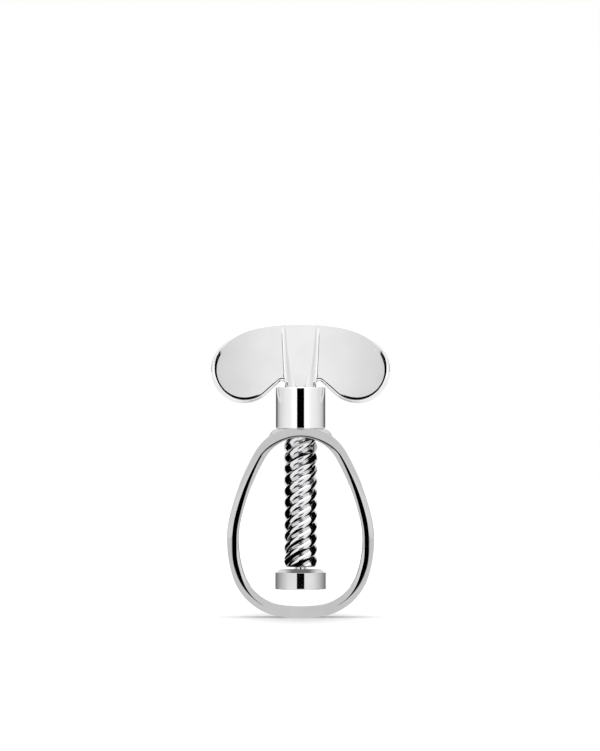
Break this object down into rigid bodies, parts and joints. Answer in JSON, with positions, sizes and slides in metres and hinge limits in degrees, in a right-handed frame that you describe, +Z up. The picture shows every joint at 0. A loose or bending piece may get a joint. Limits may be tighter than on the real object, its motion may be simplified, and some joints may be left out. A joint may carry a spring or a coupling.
{
  "type": "screw nutcracker",
  "caption": "Free-standing steel screw nutcracker: a wing handle drives a steep screw through a collar and presses a swivel foot down inside an egg-shaped hoop.",
  "frame": {"origin": "centre of the flat base that the hoop stands on", "axes": "+Z up along the screw, +X across the wings, -Y towards the front"},
  "size_m": [0.0916, 0.0264, 0.1503],
  "materials": {
    "polished_steel": "mirror-polished stainless steel",
    "screw_steel": "bright turned and polished stainless steel",
    "ground_steel": "ground stainless steel",
    "dark_steel": "blackened steel",
    "bronze": "machined bearing bronze",
    "black_polymer": "matt black acetal",
    "grey_polymer": "matt dark grey polyurethane"
  },
  "bodies": {
    "frame": {"hoop_frame": "polished_steel", "drive_nut": "bronze", "nut_lock_pin": "dark_steel", "collar": "polished_steel", "collar_set_screw": "dark_steel", "guide_ring": "black_polymer"},
    "foot": {"foot_cap": "polished_steel", "swivel_bush": "black_polymer", "thrust_plate": "ground_steel", "thrust_ball": "screw_steel"},
    "screw": {"helix_screw": "screw_steel", "bumper_washer": "grey_polymer", "wing_handle": "polished_steel", "handle_grub_screw": "dark_steel", "swivel_pin": "screw_steel", "pin_circlip": "dark_steel"}
  },
  "joints": [
    {"name": "foot_slide", "type": "slide", "parent": "frame", "child": "foot", "axis": [0, 0, 1], "range_m": [0, 0.06]},
    {"name": "screw_turn", "type": "hinge", "parent": "foot", "child": "screw", "pos_m": [0, 0, 0.025], "axis": [0, 0, 1], "range_deg": [0, 930.8]}
  ],
  "couplings": [
    {"joint": "foot_slide", "follows": "screw_turn", "m_per_rad": 0.0036924}
  ]
}
